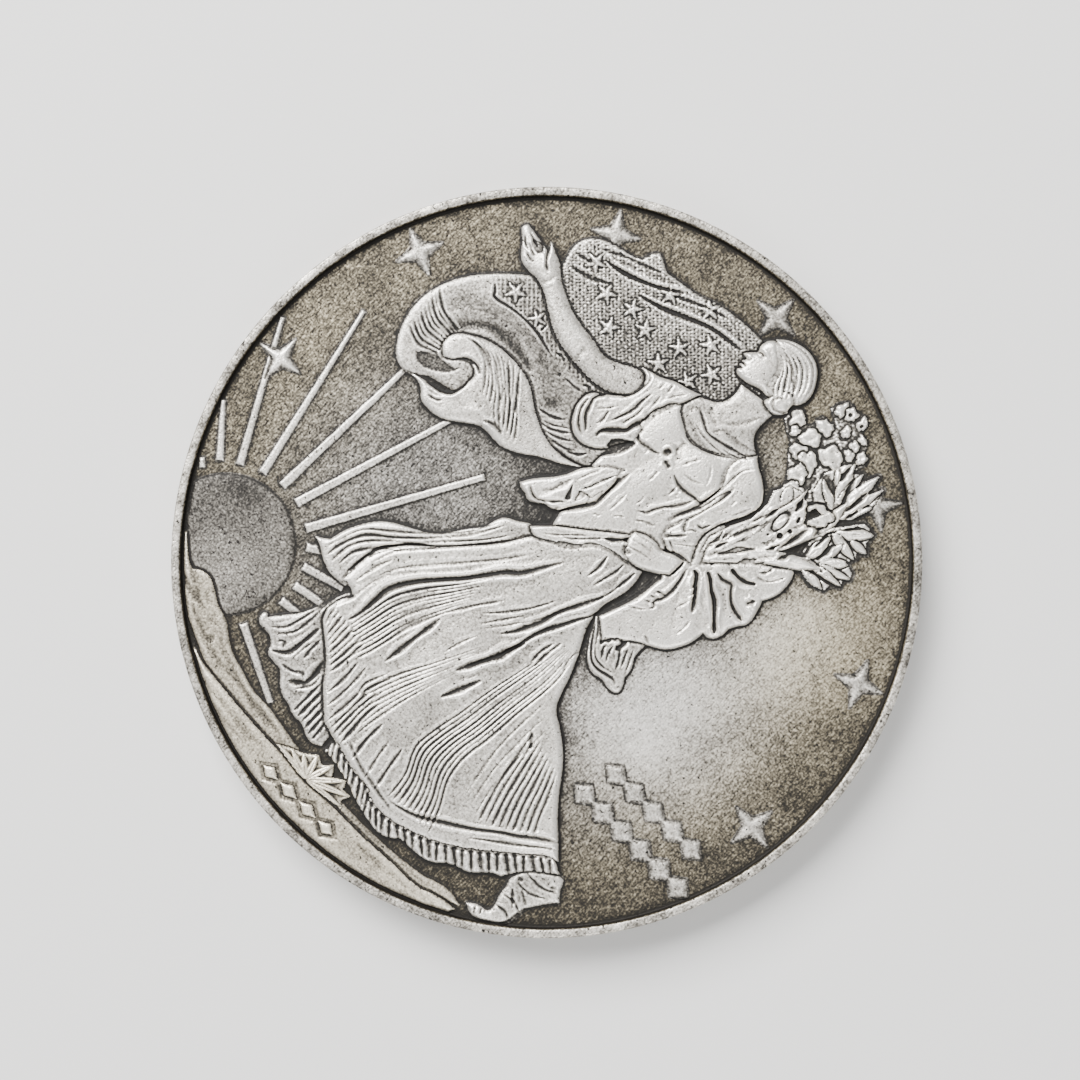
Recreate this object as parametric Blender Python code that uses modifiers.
"""A struck silver-finish challenge coin, 40.6 mm across.

The coin lies flat: +Z is the normal of its front, +Y points to the top of the
design, and the origin is the middle of the back's rim, which is the lowest face.
The blank is one turned solid. Every feature of the relief is its own low plate,
and the plates stand on the sunk field in six steps, like paper cut-outs laid one
over the other. A higher plate is cut away where a lower one passes under it.
"""

import math

import bmesh
import bpy

MM = 0.001

# Driving dimensions, in millimetres.
DIAMETER = 40.6
THICKNESS = 2.98
RIM_WIDTH = 0.45
RIM_HEIGHT = 0.46
RIM_FLANK = 0.10
EDGE_ROUND = 0.12
RELIEF_STEP = 0.07
FIRST_STEP = 0.08
GAP = 0.02

RADIUS = DIAMETER / 2
FRONT_FIELD = THICKNESS - RIM_HEIGHT
BACK_FIELD = RIM_HEIGHT
RIM_INSIDE = RADIUS - RIM_WIDTH - RIM_FLANK
RELIEF_LIMIT = RIM_INSIDE - 0.08
TURNED_STEPS = 96
CURVE_STEPS = 3

SILVER_BRIGHT = (0.72, 0.70, 0.67, 1.0)
SILVER_MID = (0.50, 0.48, 0.45, 1.0)

plates = {}


def clear_scene():
    for old in list(bpy.data.objects):
        bpy.data.objects.remove(old, do_unlink=True)


def new_collection(name, hidden=False):
    made = bpy.data.collections.new(name)
    bpy.context.scene.collection.children.link(made)
    made.hide_render = hidden
    return made


def silver(name, colour, roughness):
    """Antiqued silver plate: bright where it is rubbed, dark where the oxide stays."""
    material = bpy.data.materials.new(name)
    material.use_nodes = True
    shader = material.node_tree.nodes["Principled BSDF"]
    shader.inputs["Base Color"].default_value = colour
    shader.inputs["Metallic"].default_value = 1.0
    shader.inputs["Roughness"].default_value = roughness
    return material


# Outlines. A shape is a list of stretches. Each stretch starts at a sharp corner and
# runs smoothly through its points to the corner that opens the next one.


def arc(radius, start, end, count):
    """Points on an arc round the coin's middle, with angles in degrees."""
    step = (end - start) / (count - 1)
    angles = [math.radians(start + step * i) for i in range(count)]
    return [(radius * math.cos(a), radius * math.sin(a)) for a in angles]


def corners(points):
    return [[point] for point in points]


def moved(points, x, y, angle):
    """Points turned by an angle in degrees and set down at (x, y)."""
    c, s = math.cos(math.radians(angle)), math.sin(math.radians(angle))
    return [(x + c * px - s * py, y + s * px + c * py) for px, py in points]


def star(tips, long, short):
    """A star's points, with its first tip straight up."""
    found = []
    for i in range(2 * tips):
        angle = math.pi / 2 + math.pi * i / tips
        reach = short if i % 2 else long
        found.append((reach * math.cos(angle), reach * math.sin(angle)))
    return found


def lozenge_row(count, length, half_height, neck):
    """A row of lozenges, joined by short necks into one bar along X."""
    pitch = length / count
    top = [(-length / 2, 0)]
    for i in range(count):
        top.append((-length / 2 + pitch * (i + 0.5), half_height))
        if i < count - 1:
            top.append((-length / 2 + pitch * (i + 1), neck))
    below = [(x, -y) for x, y in reversed(top[1:])]
    return top + [(length / 2, 0)] + below


def curve_object(name, shape, bottom, top, grow, collection):
    """A flat closed outline between two heights, in millimetres. grow moves its wall outwards."""
    curve = bpy.data.curves.new(name, "CURVE")
    curve.dimensions = "2D"
    curve.fill_mode = "BOTH"
    curve.resolution_u = CURVE_STEPS
    curve.extrude = (top - bottom) / 2 * MM
    spline = curve.splines.new("BEZIER")
    points = [(x, y, i == 0) for run in shape for i, (x, y) in enumerate(run)]
    spline.bezier_points.add(len(points) - 1)
    for knot, (x, y, sharp) in zip(spline.bezier_points, points):
        knot.co = (x * MM, y * MM, 0)
        knot.handle_left_type = knot.handle_right_type = "VECTOR" if sharp else "AUTO"
    spline.use_cyclic_u = True
    curve.offset = grow * MM
    flat = bpy.data.objects.new(name, curve)
    flat.location.z = (top + bottom) / 2 * MM
    collection.objects.link(flat)
    return flat


def meshed(flat, collection):
    """The curve object as a closed mesh object of the same name, its caps welded on."""
    bpy.context.view_layer.update()
    graph = bpy.context.evaluated_depsgraph_get()
    mesh = bpy.data.meshes.new_from_object(flat.evaluated_get(graph))
    name, place = flat.name, flat.matrix_world.copy()
    bpy.data.objects.remove(flat, do_unlink=True)
    work = bmesh.new()
    work.from_mesh(mesh)
    bmesh.ops.remove_doubles(work, verts=work.verts, dist=1e-6)
    bmesh.ops.recalc_face_normals(work, faces=work.faces)
    work.to_mesh(mesh)
    work.free()
    mesh.name = name
    solid = bpy.data.objects.new(name, mesh)
    solid.matrix_world = place
    collection.objects.link(solid)
    return solid


def step_height(level):
    return FIRST_STEP + RELIEF_STEP * (level - 1)


def plate(name, shape, level, colour=SILVER_BRIGHT):
    """A feature of the front's relief, standing on the field at its step."""
    top = FRONT_FIELD + step_height(level)
    solid = meshed(curve_object(name, shape, FRONT_FIELD + GAP, top, 0, coin), coin)
    solid.data.materials.clear()
    solid.data.materials.append(silver(name, colour, 0.35))
    plates[name] = (solid, shape, level)
    return solid


def back_plate(name, shape, height):
    """A feature of the back's relief, hanging below the back's field."""
    bottom = BACK_FIELD - height
    solid = meshed(curve_object(name, shape, bottom, BACK_FIELD - GAP, 0, coin), coin)
    solid.data.materials.clear()
    solid.data.materials.append(silver(name, SILVER_BRIGHT, 0.35))
    return solid


def box_of(shape):
    points = [point for run in shape for point in run]
    xs, ys = [p[0] for p in points], [p[1] for p in points]
    return min(xs), min(ys), max(xs), max(ys)


def boxes_meet(one, other):
    margin = 0.3
    ax, ay, bx, by = box_of(one)
    cx, cy, dx, dy = box_of(other)
    return ax < dx + margin and cx < bx + margin and ay < dy + margin and cy < by + margin


def cut_upper_plates():
    """Cuts each plate by every lower plate that passes under it, with a gap all round."""
    made = {}
    for name, (solid, shape, level) in plates.items():
        for other, (_, under, lower) in plates.items():
            if lower >= level or not boxes_meet(shape, under):
                continue
            if other not in made:
                top = FRONT_FIELD + step_height(lower) + GAP
                flat = curve_object(
                    "cut_" + other, under, FRONT_FIELD - GAP, top, 1.5 * GAP, cutters
                )
                made[other] = meshed(flat, cutters)
                made[other].hide_render = True
                made[other].display_type = "WIRE"
            cut = solid.modifiers.new("over_" + other, "BOOLEAN")
            cut.operation = "DIFFERENCE"
            cut.object = made[other]


def coin_blank():
    """The struck disc: a plain edge, a rim on both faces, and the sunk fields."""
    outer = RADIUS - EDGE_ROUND
    lip = RADIUS - RIM_WIDTH
    profile = [
        (0, THICKNESS - RIM_HEIGHT),
        (RIM_INSIDE, THICKNESS - RIM_HEIGHT),
        (lip, THICKNESS),
        (outer, THICKNESS),
        (RADIUS, THICKNESS - EDGE_ROUND),
        (RADIUS, EDGE_ROUND),
        (outer, 0),
        (lip, 0),
        (RIM_INSIDE, RIM_HEIGHT),
        (0, RIM_HEIGHT),
    ]
    mesh = bpy.data.meshes.new("coin_blank")
    work = bmesh.new()
    knots = [work.verts.new((x * MM, 0, z * MM)) for x, z in profile]
    for a, b in zip(knots, knots[1:]):
        work.edges.new((a, b))
    work.to_mesh(mesh)
    work.free()
    blank = bpy.data.objects.new("coin_blank", mesh)
    coin.objects.link(blank)
    turn = blank.modifiers.new("turned", "SCREW")
    turn.axis = "Z"
    turn.steps = turn.render_steps = TURNED_STEPS
    turn.use_merge_vertices = True
    turn.merge_threshold = 1e-6
    turn.use_smooth_shade = False
    mesh.materials.append(silver("coin_blank", SILVER_MID, 0.45))


# The sun, low on the left, with a ring of rays that start a little way off it.
SUN_X, SUN_Y, SUN_RADIUS = -12.95, -11.65, 3.82
SUN_LIMIT = RELIEF_LIMIT - 0.10

RAYS = [
    # (near end, far end, width at the near end, width at the far end)
    ((-16.80, -9.60), (-17.20, -9.22), 0.36, 0.30),
    ((-16.40, -8.65), (-18.62, -6.18), 0.45, 0.26),
    ((-15.45, -8.05), (-19.52, -0.72), 0.45, 0.26),
    ((-14.25, -7.50), (-16.60, 2.65), 0.46, 0.24),
    ((-13.00, -7.25), (-12.75, 2.05), 0.50, 0.30),
    ((-11.80, -7.35), (-9.05, 1.75), 0.50, 0.30),
    ((-10.45, -7.95), (-5.55, 0.90), 0.50, 0.34),
    ((-9.70, -8.65), (-8.90, -8.15), 0.48, 0.42),
    ((-9.10, -9.50), (-6.70, -8.80), 0.46, 0.40),
    ((-8.70, -10.55), (-6.90, -10.20), 0.46, 0.42),
    ((-8.65, -11.65), (-7.30, -11.50), 0.46, 0.42),
    ((-9.20, -14.00), (-5.10, -15.98), 0.46, 0.36),
]


def sun_disc():
    """The sun's disc, cut by the rim where it runs past it."""
    round_sun = [
        (SUN_X + SUN_RADIUS * math.cos(a), SUN_Y + SUN_RADIUS * math.sin(a))
        for a in [2 * math.pi * i / 64 for i in range(64)]
    ]
    inside = []
    for x, y in round_sun:
        reach = min(1.0, SUN_LIMIT / math.hypot(x, y))
        inside.append((x * reach, y * reach))
    plate("sun_disc", corners(inside), 1, SILVER_MID)


def sun_rays():
    for number, (near, far, wide, narrow) in enumerate(RAYS, 1):
        dx, dy = far[0] - near[0], far[1] - near[1]
        size = math.hypot(dx, dy)
        nx, ny = -dy / size / 2, dx / size / 2
        quad = [
            (near[0] + nx * wide, near[1] + ny * wide),
            (near[0] - nx * wide, near[1] - ny * wide),
            (far[0] - nx * narrow, far[1] - ny * narrow),
            (far[0] + nx * narrow, far[1] + ny * narrow),
        ]
        plate(f"ray_{number:02d}", corners(quad), 1)


FAR_HILL = [
    [(-14.85, -12.68), (-14.3, -13.1), (-13.7, -13.55)],
    [(-13.25, -13.7), (-12.8, -13.47), (-12.3, -13.4), (-11.7, -13.65), (-10.9, -14.15),
     (-9.9, -14.55), (-9.1, -15.1), (-8.4, -15.5), (-7.4, -15.8), (-6.2, -16.13),
     (-5.0, -16.17), (-3.8, -16.35), (-2.2, -16.6), (0, -16.9), (2.5, -17.0), (4.6, -16.95),
     (6.4, -16.8), (7.4, -16.62), (8.2, -16.35), (9.1, -16.22)],
    [(9.95, -16.42)],
    [(8.0, -17.45), (4.0, -18.1), (0, -18.2), (-4.0, -18.0), (-8.0, -17.4)],
    *corners(arc(RELIEF_LIMIT, 233.8, 220.2, 8)),
]

GROUND_MOUND = [
    [(-10.3, -16.75), (-9.2, -17.0), (-8.0, -17.06), (-6.0, -17.22), (-3.5, -17.35),
     (0, -17.42), (3.5, -17.38), (6.0, -17.27), (7.6, -17.18), (8.4, -16.9), (9.1, -16.74)],
    [(9.85, -16.72)],
    *corners(arc(RELIEF_LIMIT, 299.6, 239.2, 15)),
]

GROUND_PLANT = corners([
    (-3.3, -17.3), (-2.7, -16.95), (-1.9, -16.62), (-1.25, -16.12), (-0.75, -16.35),
    (-0.3, -15.92), (0.15, -16.42), (0.8, -16.02), (1.0, -16.45), (1.55, -16.5),
    (1.35, -16.95), (1.65, -17.3), (-0.8, -17.65),
])


def ground():
    plate("far_hill", FAR_HILL, 2, SILVER_MID)
    plate("ground_mound", GROUND_MOUND, 3, SILVER_MID)
    plate("ground_plant", GROUND_PLANT, 4, SILVER_MID)


# The flag worn as a cape. Its far part blows out behind the head, its near part
# swings down under the raised arm and curls over like a wave.
FLAG_BACK = [
    [(-10.4, 11.4), (-10.85, 12.5), (-11.0, 13.2), (-10.75, 14.0), (-10.15, 14.55),
     (-9.2, 14.9), (-8.2, 15.1)],
    [(-7.85, 15.3), (-7.72, 15.75), (-7.45, 16.17), (-7.0, 16.1), (-6.4, 15.78),
     (-5.5, 15.9), (-4.2, 16.1), (-3.2, 16.48), (-1.8, 16.7), (-0.6, 16.76)],
    [(1.2, 16.8)],
    [(1.9, 14.6)],
    [(1.7, 12.0)],
    [(-0.9, 11.1), (-4.0, 10.05), (-6.0, 9.7), (-7.5, 9.85), (-9.0, 10.5)],
]

CAPE_BAND = [
    [(-11.3, 10.65), (-12.3, 9.8), (-13.25, 8.85), (-14.1, 7.75), (-14.7, 6.4), (-14.9, 5.2),
     (-14.7, 3.85), (-14.15, 2.7), (-13.5, 2.05), (-12.85, 1.88)],
    [(-12.3, 2.0)],
    [(-11.6, 2.6), (-9.0, 3.2), (-6.0, 3.7), (-3.6, 4.55)],
    [(-1.1, 5.4)],
    [(-1.2, 9.2)],
    [(-4.0, 9.35), (-5.0, 9.2), (-6.5, 9.1), (-8.0, 9.3), (-9.0, 9.75), (-10.0, 10.35)],
]

CAPE_CURL = [
    [(-1.9, 5.15), (-3.2, 4.75), (-4.5, 4.8), (-5.5, 5.15), (-6.3, 5.6), (-7.2, 6.2),
     (-8.3, 6.55), (-9.4, 6.6), (-10.5, 6.38), (-11.5, 5.9), (-12.15, 5.35), (-12.37, 4.75),
     (-12.2, 4.2)],
    [(-11.75, 3.88), (-11.3, 4.15), (-10.95, 4.52), (-10.4, 4.72), (-9.98, 4.5), (-9.85, 4.0),
     (-9.95, 3.2), (-10.3, 2.68), (-11.0, 2.42), (-11.8, 2.3)],
    [(-12.55, 2.0), (-12.0, 2.03), (-11.5, 1.87), (-11.0, 1.42), (-10.5, 1.32), (-9.5, 1.46),
     (-8.5, 2.1), (-7.6, 2.65), (-6.2, 2.66), (-5.2, 3.05), (-4.2, 3.75), (-3.1, 4.32)],
]


def flag_cape():
    plate("flag_back", FLAG_BACK, 2, SILVER_MID)
    plate("cape_band", CAPE_BAND, 2)
    plate("cape_curl", CAPE_CURL, 3)


# The figure: arms, head and gown, from the far side to the near side.
RAISED_ARM = [
    [(-2.2, 10.7), (-3.2, 11.0), (-3.9, 10.93), (-4.7, 10.52), (-5.5, 10.22), (-6.5, 10.38),
     (-7.5, 10.5), (-8.5, 10.7), (-9.4, 11.08), (-10.1, 11.45), (-10.8, 12.0), (-11.4, 12.27)],
    [(-11.96, 12.46)],
    [(-11.75, 12.03), (-12.4, 12.13), (-13.0, 12.25)],
    [(-13.58, 12.32), (-13.75, 12.05), (-13.55, 11.7), (-13.2, 11.45), (-12.92, 11.05),
     (-12.5, 10.63), (-11.8, 10.47), (-11.0, 10.4), (-10.4, 10.17), (-9.6, 9.65), (-8.6, 9.08),
     (-7.6, 8.75), (-6.3, 8.6), (-5.2, 8.57), (-4.2, 8.73), (-3.3, 9.05)],
    [(-2.2, 9.3)],
]

SLEEVE_LEFT = [
    [(-0.35, 12.36), (-1.0, 12.12), (-1.9, 11.86), (-2.6, 11.5), (-3.25, 11.3)],
    [(-3.8, 11.12), (-3.25, 10.9), (-3.0, 10.3), (-3.15, 9.6)],
    [(-3.75, 8.98), (-4.2, 8.6), (-4.72, 8.2), (-4.85, 7.5), (-4.6, 6.7), (-4.1, 6.1),
     (-3.4, 5.85), (-2.6, 6.05), (-1.95, 6.6), (-1.5, 7.3)],
    [(-1.05, 8.0), (-1.35, 9.2), (-1.2, 10.3), (-0.7, 11.3)],
]

NECK = [
    [(0.7, 14.3), (0.82, 13.5), (0.7, 12.98), (0.35, 12.62), (-0.2, 12.34)],
    [(-0.9, 12.0)],
    [(-0.9, 10.6)],
    [(0.3, 9.9), (1.6, 9.7), (3.0, 10.1)],
    [(4.45, 11.2)],
    [(4.3, 12.02), (3.7, 12.36), (3.28, 12.78), (3.12, 13.4)],
    [(3.2, 14.6)],
]

# The profile is a plain classical one: thirds from hairline to brow to nose to chin.
HEAD = [
    [(0.55, 17.35), (0.16, 17.02), (0.02, 16.65), (0.02, 16.36), (0.12, 16.17), (-0.06, 15.93)],
    [(-0.36, 15.58), (-0.3, 15.47), (-0.06, 15.4)],
    [(-0.14, 15.24), (-0.14, 15.16)],
    [(-0.02, 15.1), (-0.1, 15.03), (-0.08, 14.94), (0.04, 14.86), (-0.02, 14.7), (0.08, 14.52),
     (0.42, 14.42), (1.0, 14.5), (1.6, 14.7)],
    [(2.4, 14.75)],
    [(3.3, 15.3), (3.6, 16.2), (3.1, 17.2), (1.9, 17.7)],
]

HAIR_CAP = [
    [(0.35, 17.32), (0.85, 17.74), (1.6, 18.04), (2.4, 18.06), (3.1, 17.75), (3.6, 17.15),
     (3.92, 16.4), (3.85, 15.75), (3.55, 15.3)],
    [(3.65, 14.9), (3.3, 14.4), (2.75, 14.2), (2.25, 14.4)],
    [(2.3, 14.85), (1.85, 15.1), (1.7, 15.6), (1.62, 16.1), (1.25, 16.55), (0.75, 16.9)],
]

BODICE = [
    [(-0.75, 12.0), (-0.62, 11.15), (0, 10.62), (0.7, 10.28), (1.4, 10.22), (2.2, 10.5),
     (3.0, 11.05)],
    [(3.7, 11.75)],
    [(4.4, 11.8)],
    [(5.1, 10.4), (4.9, 8.6), (4.4, 7.0), (4.1, 5.8)],
    [(4.3, 4.6)],
    [(2.7, 4.25), (1.5, 3.4), (0.3, 2.5), (-0.6, 1.85)],
    [(-1.1, 1.5)],
    [(-1.35, 2.6), (-1.5, 3.8), (-1.85, 5.1), (-1.9, 6.3), (-1.55, 7.5), (-1.7, 9.0),
     (-1.8, 10.4)],
    [(-1.4, 11.7)],
]

SASH = [
    [(3.0, 4.7), (2.1, 4.2), (1.4, 3.68), (0.7, 3.1), (-0.1, 2.5), (-0.8, 1.95), (-1.35, 1.4)],
    [(-1.95, 0.75), (-1.5, 0.5), (-0.95, 0.65), (-0.4, 0.98), (0.3, 1.3), (0.85, 1.85),
     (1.3, 2.4), (1.9, 2.75), (2.5, 2.92)],
    [(3.3, 3.05)],
]

HIP_DRAPE = [
    [(-0.5, 6.5), (-1.2, 6.1), (-1.75, 5.5), (-2.2, 4.9), (-2.5, 4.2), (-2.85, 3.65),
     (-3.4, 3.0), (-3.8, 2.45)],
    [(-4.0, 2.05), (-3.8, 1.88), (-3.4, 1.8), (-3.0, 1.65), (-2.65, 1.8), (-2.25, 2.12),
     (-1.75, 2.2)],
    [(-1.4, 2.45), (-0.95, 3.2), (-0.5, 3.95), (-0.3, 4.8), (-0.28, 5.7)],
]

SKIRT_MAIN = [
    [(2.95, 3.5)],
    [(4.15, 3.4), (4.33, 2.4), (4.22, 1.5), (3.98, 0.6), (3.98, -0.1), (4.12, -0.75),
     (4.4, -1.4), (4.75, -2.05), (5.1, -2.75), (5.45, -3.6), (5.75, -4.5), (6.15, -5.25),
     (6.9, -5.75), (7.9, -6.5), (8.7, -7.35), (9.5, -8.4), (10.4, -9.4), (11.3, -10.25)],
    [(12.02, -10.98), (11.3, -11.35), (10.5, -12.05), (9.6, -12.8), (8.5, -13.72),
     (7.3, -14.58), (6.2, -15.18), (5.0, -15.65), (4.0, -15.93), (3.0, -16.0), (2.35, -15.85),
     (1.7, -15.52), (0.8, -15.45), (-0.3, -15.2), (-1.3, -14.95)],
    [(-2.3, -14.7), (-3.0, -14.07), (-3.9, -13.2), (-4.7, -12.2), (-5.6, -11.4), (-6.3, -10.8)],
    [(-6.6, -10.2), (-6.5, -9.5)],
    [(-6.1, -8.75), (-6.45, -8.52)],
    [(-7.15, -8.6), (-7.12, -7.5), (-6.95, -6.3), (-6.2, -5.0), (-5.0, -3.8), (-3.6, -2.3),
     (-2.4, -0.9), (-1.8, 0.1)],
    [(-1.2, 1.05)],
    [(-0.3, 1.7), (0.7, 2.45), (1.8, 3.2)],
]

TRAIN_UPPER = [
    [(-1.0, 0.9), (-1.9, 0.92), (-2.6, 0.5), (-3.25, 0.1), (-3.5, -0.4), (-3.62, -0.95),
     (-4.05, -1.55), (-4.5, -2.18), (-5.0, -2.85), (-5.6, -3.38), (-6.3, -3.8), (-7.0, -4.15),
     (-7.6, -4.55), (-8.1, -5.05), (-8.55, -5.75), (-8.9, -6.5)],
    [(-9.1, -7.35), (-9.4, -7.6)],
    [(-9.8, -7.88), (-9.3, -8.07), (-8.8, -8.37), (-8.3, -8.62), (-7.8, -8.74), (-7.2, -8.74)],
    [(-6.75, -8.66)],
    [(-6.0, -8.0), (-5.6, -6.0), (-4.0, -3.6), (-2.2, -1.2)],
]

TRAIN_LOWER = [
    [(-5.7, -8.3), (-6.3, -8.7), (-6.6, -9.4), (-6.88, -10.2), (-7.15, -10.85), (-7.5, -11.45),
     (-8.0, -12.1)],
    [(-8.5, -12.74), (-8.74, -12.66), (-8.86, -13.08), (-8.5, -13.4), (-7.9, -13.42),
     (-7.4, -13.7), (-7.15, -14.18), (-6.6, -14.3), (-6.05, -14.37), (-5.5, -14.9),
     (-5.0, -15.23), (-4.4, -15.36), (-3.8, -15.6), (-3.1, -15.62), (-2.4, -15.92),
     (-1.9, -15.92)],
    [(-1.45, -15.66)],
    [(-1.6, -14.0)],
    [(-4.8, -10.5)],
]

PETTICOAT_HEM = [
    [(-1.15, -14.5), (1.0, -14.9), (4.0, -15.4), (7.0, -14.2), (9.5, -12.3), (11.2, -10.9)],
    [(12.0, -11.1)],
    [(12.57, -11.38), (12.0, -11.85), (11.3, -12.42), (10.75, -13.1)],
    [(10.35, -13.75), (9.9, -13.95), (9.4, -14.42), (8.9, -14.85), (8.3, -15.05),
     (7.8, -15.32), (7.3, -15.75), (6.8, -16.0), (6.0, -16.12)],
    [(5.1, -16.16), (4.7, -16.5), (4.2, -16.75), (3.2, -16.72), (2.4, -16.55), (1.6, -16.32),
     (0.8, -16.05), (-0.3, -15.8)],
    [(-1.2, -15.7)],
]

SANDAL_FOOT = [
    [(12.6, -11.45), (12.9, -11.5), (13.15, -11.95)],
    [(13.6, -12.5), (13.2, -13.0), (12.8, -13.6)],
    [(12.5, -14.05), (12.5, -14.6), (12.38, -15.15), (12.1, -15.5), (11.6, -15.88),
     (11.0, -16.25), (10.5, -16.3)],
    [(10.05, -16.05), (10.3, -15.8), (10.7, -15.62), (11.12, -15.5), (11.18, -15.1),
     (11.0, -14.6), (10.9, -14.0)],
    [(10.75, -13.5), (11.0, -12.5), (11.7, -11.8)],
]

RIGHT_SLEEVE = [
    [(4.1, 12.15), (4.6, 11.75), (5.3, 11.35), (5.85, 10.85), (6.15, 10.3), (6.0, 9.5),
     (5.6, 8.7), (5.25, 7.8), (5.1, 6.9), (5.4, 6.05)],
    [(5.75, 5.4), (4.9, 5.3), (4.2, 5.05)],
    [(3.5, 5.3), (3.3, 6.3), (3.5, 7.2), (3.8, 8.2), (3.9, 9.4), (3.4, 10.4), (3.4, 11.2)],
]

RIGHT_HAND = [
    [(5.35, 5.32), (4.7, 5.2), (4.1, 4.92), (3.5, 5.02), (2.9, 4.93)],
    [(2.25, 4.6), (2.2, 4.25), (2.4, 3.7), (2.8, 3.2), (3.3, 3.1), (3.9, 3.24), (4.45, 3.55),
     (4.95, 3.85)],
    [(5.35, 4.2)],
]

RIGHT_DRAPE = [
    [(4.9, 8.2), (6.5, 8.3), (7.8, 8.4), (9.0, 8.6), (9.4, 9.0)],
    [(9.75, 9.25), (10.05, 8.9), (10.22, 8.2), (10.15, 7.4)],
    [(9.85, 6.75), (10.07, 6.1), (10.15, 5.3), (9.85, 4.8)],
    [(9.64, 4.4), (9.6, 3.8), (9.25, 3.3)],
    [(8.83, 3.22), (8.75, 2.6), (8.5, 1.95), (8.0, 1.2)],
    [(7.25, 0.72), (6.7, 0.4), (6.1, -0.05), (5.5, -0.5)],
    [(5.2, -0.95)],
    [(4.15, -0.1), (4.32, 0.7), (4.62, 1.6), (4.8, 2.5), (4.85, 3.4), (4.6, 4.5), (4.6, 6.0)],
]

DRAPE_TAIL = [
    [(4.0, -0.2), (4.3, -0.62), (4.6, -1.15), (5.0, -1.72), (5.5, -2.28), (6.0, -2.5),
     (6.7, -2.4), (7.2, -2.47), (7.6, -2.45), (7.85, -2.2), (7.75, -1.8)],
    [(7.52, -1.4), (7.45, -0.85), (7.15, -0.3), (7.08, 0.35)],
    [(7.15, 1.3)],
    [(5.4, 1.0)],
    [(4.6, 0.5)],
]


def figure():
    plate("raised_arm", RAISED_ARM, 3)
    plate("neck", NECK, 3)
    plate("head", HEAD, 5)
    plate("hair_cap", HAIR_CAP, 6)
    plate("bodice", BODICE, 4)
    plate("sleeve_left", SLEEVE_LEFT, 5)
    plate("sleeve_right", RIGHT_SLEEVE, 5)
    plate("sash", SASH, 5)
    plate("hip_drape", HIP_DRAPE, 5)
    plate("hand_right", RIGHT_HAND, 6)
    plate("skirt_main", SKIRT_MAIN, 4)
    plate("train_upper", TRAIN_UPPER, 3)
    plate("train_lower", TRAIN_LOWER, 2)
    plate("petticoat_hem", PETTICOAT_HEM, 3)
    plate("drape_right", RIGHT_DRAPE, 3)
    plate("drape_tail", DRAPE_TAIL, 2)
    plate("sandal_foot", SANDAL_FOOT, 2)


# The branch of leaves and blossom held in the crook of the right arm.
BRANCH_STEMS = [
    [(5.55, 6.8), (6.0, 8.3), (6.6, 10.0), (7.1, 11.6)],
    [(7.3, 12.9), (7.65, 11.4), (7.5, 9.95)],
    [(8.5, 11.5), (9.05, 12.9)],
    [(9.3, 14.1), (9.75, 12.4), (9.3, 10.8)],
    [(8.6, 9.3), (9.7, 9.95)],
    [(11.0, 10.3), (10.1, 9.3), (8.4, 8.1), (7.2, 7.0)],
    [(6.05, 5.8)],
]

LEAVES_TOP = corners([
    (7.55, 12.9), (7.35, 14.0), (7.75, 15.0), (8.2, 15.6), (8.45, 15.0), (8.85, 15.45),
    (9.05, 15.0), (9.55, 15.95), (9.85, 14.9), (10.2, 15.6), (10.5, 14.4), (10.15, 13.3),
    (9.3, 12.4), (8.3, 12.3),
])

LEAVES_RIGHT = corners([
    (9.6, 9.6), (9.35, 11.0), (9.7, 12.2), (10.35, 13.0), (10.8, 13.6), (11.55, 13.5),
    (11.6, 12.9), (12.0, 12.5), (11.6, 12.2), (11.75, 11.9), (11.55, 11.4), (12.2, 11.2),
    (12.35, 10.9), (12.1, 10.6), (12.25, 10.25), (11.8, 9.95), (11.75, 9.5), (11.0, 9.2),
    (10.5, 9.3),
])

LEAVES_LEFT = corners([
    (5.6, 6.3), (5.35, 7.2), (5.75, 8.4), (6.25, 9.4), (6.35, 10.6), (6.1, 11.4), (6.5, 12.2),
    (7.2, 12.4), (8.0, 12.1), (8.5, 11.2), (8.6, 10.2), (8.4, 9.1), (7.2, 8.75), (6.6, 7.8),
])

BLOSSOMS = [
    [(3.75, 14.6), (3.75, 15.2), (4.2, 15.6), (4.8, 15.2)],
    [(5.05, 15.4), (5.1, 16.1), (5.8, 16.2)],
    [(5.15, 16.75), (5.3, 17.35), (5.8, 17.7), (6.3, 17.55)],
    [(6.75, 17.75), (7.15, 17.5), (7.2, 17.0), (7.8, 16.8), (8.1, 16.3), (8.55, 16.1),
     (8.45, 15.5)],
    [(8.0, 14.0), (8.2, 13.0), (8.2, 12.0)],
    [(7.2, 11.2), (6.5, 11.5), (6.15, 12.2), (5.7, 12.9), (5.2, 13.4), (4.9, 13.9)],
    [(4.3, 14.2)],
]


def branch():
    plate("blossoms", BLOSSOMS, 2)
    plate("leaves_top", LEAVES_TOP, 3)
    plate("leaves_right", LEAVES_RIGHT, 3)
    plate("leaves_left", LEAVES_LEFT, 4)
    plate("branch_stems", BRANCH_STEMS, 5)


# Plain ornaments stand where a coin of this kind carries lettering.
BORDER_RADIUS = 18.15
BORDER_ANGLES = [187.6, 157.1, 122.8, 91.4, 54.2, 23.5, -7.2]
BORDER_STAR = star(4, 1.35, 0.5)


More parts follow.
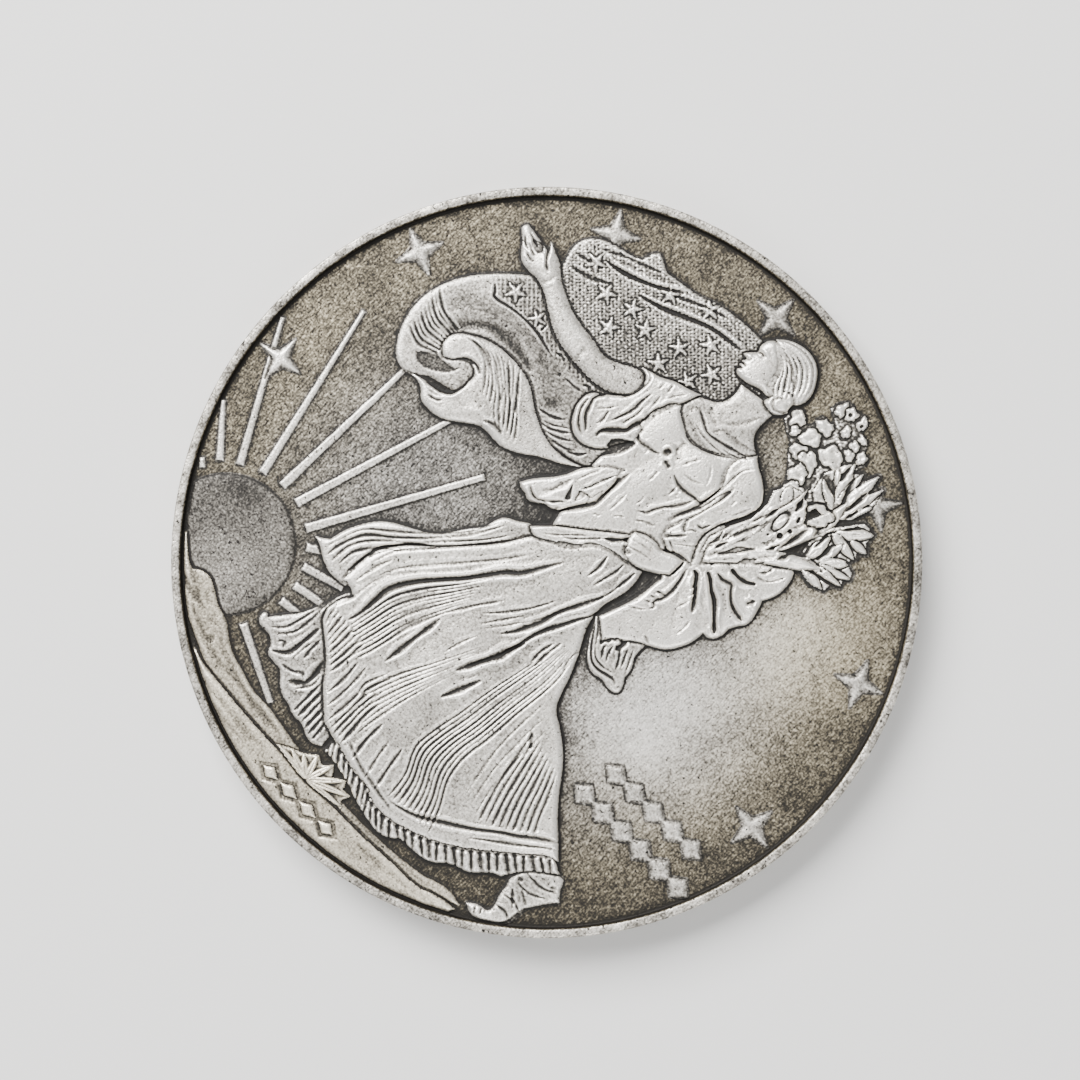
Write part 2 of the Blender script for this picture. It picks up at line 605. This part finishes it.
def ornaments():
    for number, angle in enumerate(BORDER_ANGLES, 1):
        x = BORDER_RADIUS * math.cos(math.radians(angle))
        y = BORDER_RADIUS * math.sin(math.radians(angle))
        # The first star stands over the third ray, so it is a step higher.
        level = 2 if number == 1 else 1
        shape = corners(moved(BORDER_STAR, x, y, angle - 90))
        plate(f"border_star_{number}", shape, level)
    upper = moved(lozenge_row(5, 7.2, 0.62, 0.12), 13.7, -5.45, 0)
    lower = moved(lozenge_row(6, 8.6, 0.66, 0.12), 13.95, -7.4, 0)
    plate("lozenge_row_upper", corners(upper), 1)
    plate("lozenge_row_lower", corners(lower), 1)
    date = moved(lozenge_row(4, 5.8, 0.55, 0.12), -0.3, -18.6, 0)
    plate("lozenge_row_date", corners(date), 4, SILVER_MID)


# The back: an open wreath of two sprays round a five-pointed star.
WREATH_RADIUS = 12.6
WREATH_HALF_WIDTH = 1.55
BACK_HEIGHT = 0.30
SPRAY_LEAVES = 9


def wreath_spray(side):
    """One side of the wreath, with a scallop for each pair of leaves. side is 1 or -1."""
    outer, inner = [], []
    for i in range(2 * SPRAY_LEAVES + 1):
        part = i / (2 * SPRAY_LEAVES)
        angle = math.radians(-82 + 150 * part)
        swell = WREATH_HALF_WIDTH * (1.0 if i % 2 else 0.45) * (1 - 0.35 * part)
        if i in (0, 2 * SPRAY_LEAVES):
            swell = 0.12
        for reach, found in ((swell, outer), (-swell, inner)):
            radius = WREATH_RADIUS + reach
            found.append((side * radius * math.cos(angle), radius * math.sin(angle)))
    return corners(outer + inner[::-1])


def back_relief():
    back_plate("wreath_spray_left", wreath_spray(1), BACK_HEIGHT)
    back_plate("wreath_spray_right", wreath_spray(-1), BACK_HEIGHT)
    back_plate("back_star", corners(star(5, 7.2, 2.9)), BACK_HEIGHT)


clear_scene()
coin = new_collection("challenge_coin")
cutters = new_collection("cutters", hidden=True)
coin_blank()
sun_disc()
sun_rays()
ground()
flag_cape()
figure()
branch()
ornaments()
back_relief()
cut_upper_plates()
